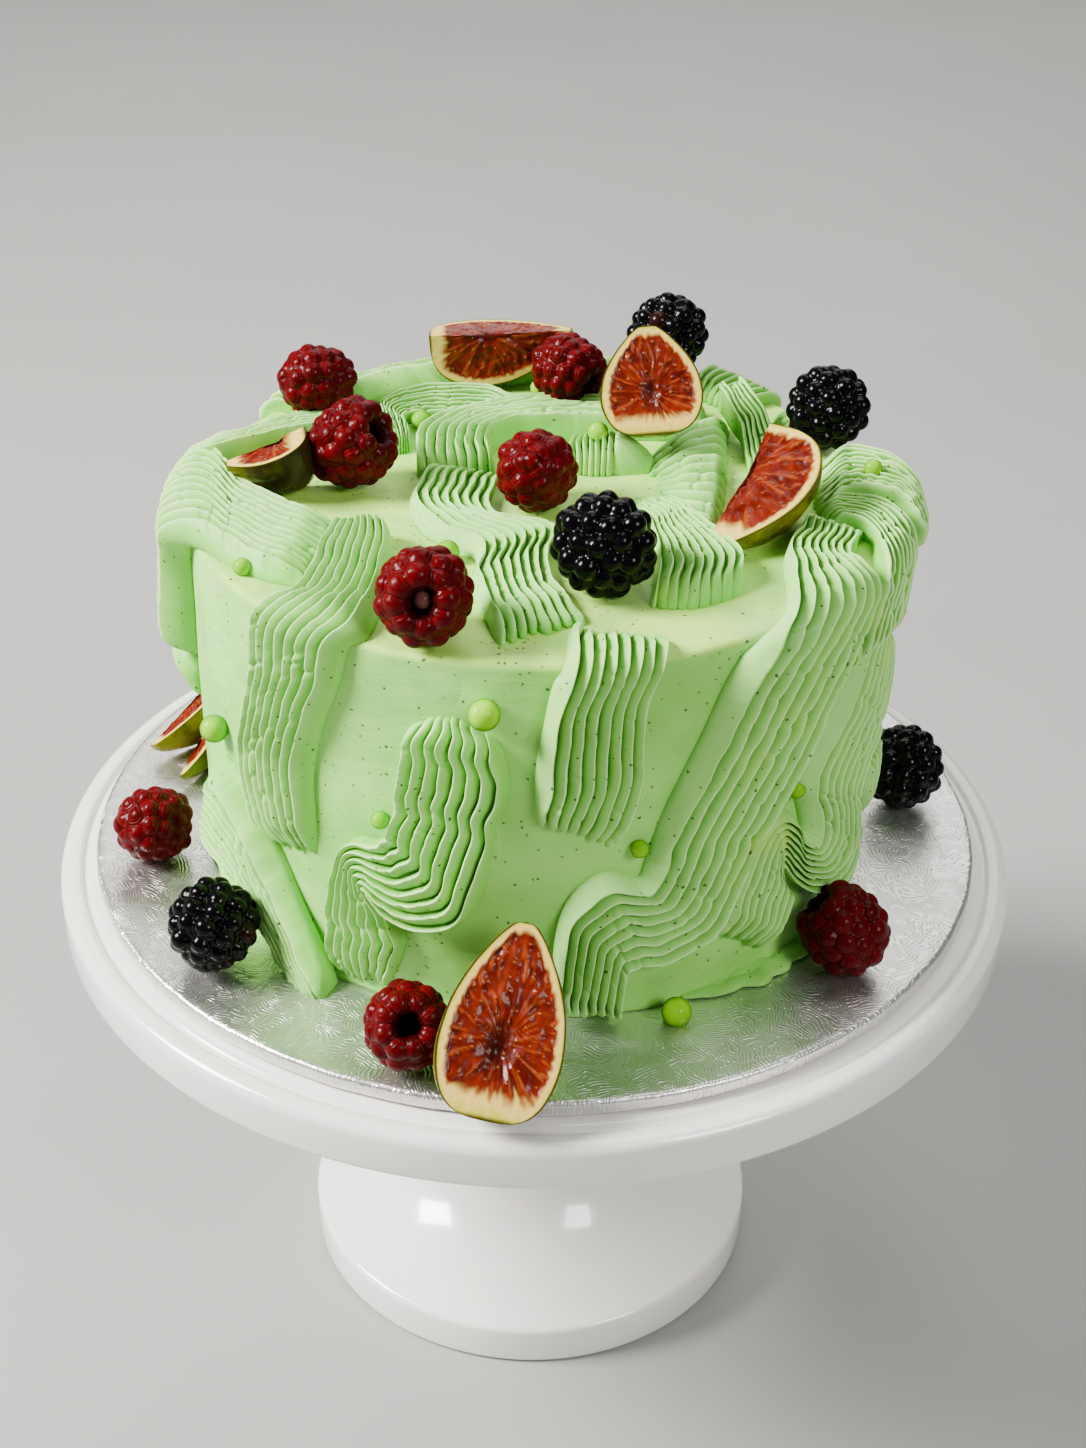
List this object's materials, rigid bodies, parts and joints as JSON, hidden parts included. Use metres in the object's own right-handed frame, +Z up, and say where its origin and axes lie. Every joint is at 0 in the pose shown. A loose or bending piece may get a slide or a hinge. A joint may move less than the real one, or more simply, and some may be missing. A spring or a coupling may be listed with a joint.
{
  "type": "celebration layer cake",
  "caption": "Round iced layer cake with ribbed piped ribbons, figs and berries, on a foil board and a pedestal cake stand.",
  "frame": {"origin": "centre of the stand's foot, on the surface it stands on", "axes": "+Z up, -Y towards the front of the cake, +X to the right of a person who faces the front"},
  "size_m": [0.2752, 0.2752, 0.2935],
  "materials": {
    "ceramic": "glossy white glaze",
    "foil_board": "embossed silver foil over board",
    "icing": "soft satin buttercream",
    "raspberry": "moist, glossy",
    "bramble": "moist, glossy",
    "fig": "moist cut flesh, dark skin behind"
  },
  "bodies": {
    "root": {"stand": "ceramic", "board": "foil_board", "cake": "icing", "raspberry_top_left": "raspberry", "raspberry_top_left_open": "raspberry", "raspberry_top_middle": "raspberry", "raspberry_top_back": "raspberry", "raspberry_top_front_open": "raspberry", "raspberry_board_left": "raspberry", "raspberry_board_front_open": "raspberry", "raspberry_board_right": "raspberry", "raspberry_board_back": "raspberry", "bramble_top_front": "bramble", "bramble_top_right": "bramble", "bramble_top_back": "bramble", "bramble_board_left": "bramble", "bramble_board_right": "bramble", "bramble_board_back": "bramble", "fig_top_back": "fig", "fig_top_half": "fig", "fig_top_right": "fig", "fig_top_left": "fig", "fig_board_front": "fig", "fig_board_left": "fig", "fig_board_left_small": "fig", "fig_board_back": "fig", "ribbon_left_front_drop": "icing", "ribbon_left_over_rim": "icing", "ribbon_left_back_drop": "icing", "ribbon_front_drop": "icing", "ribbon_front_hook": "icing", "ribbon_left_tail": "icing", "ribbon_swirl": "icing", "ribbon_small_left": "icing", "ribbon_folded_end": "icing", "ribbon_across_back": "icing", "ribbon_spike": "icing", "ribbon_behind_spike": "icing", "ribbon_middle_fan": "icing", "ribbon_right_front_top": "icing", "ribbon_right_over_rim": "icing", "ribbon_right_back_rim": "icing", "ribbon_right_long": "icing", "ribbon_right_wall_hook": "icing", "ribbon_right_wall_scallop": "icing", "ribbon_back_rim": "icing", "ribbon_back_left_drop": "icing", "ribbon_back_hook": "icing", "ribbon_back_long": "icing", "ribbon_back_right_drop": "icing"}
  },
  "joints": []
}
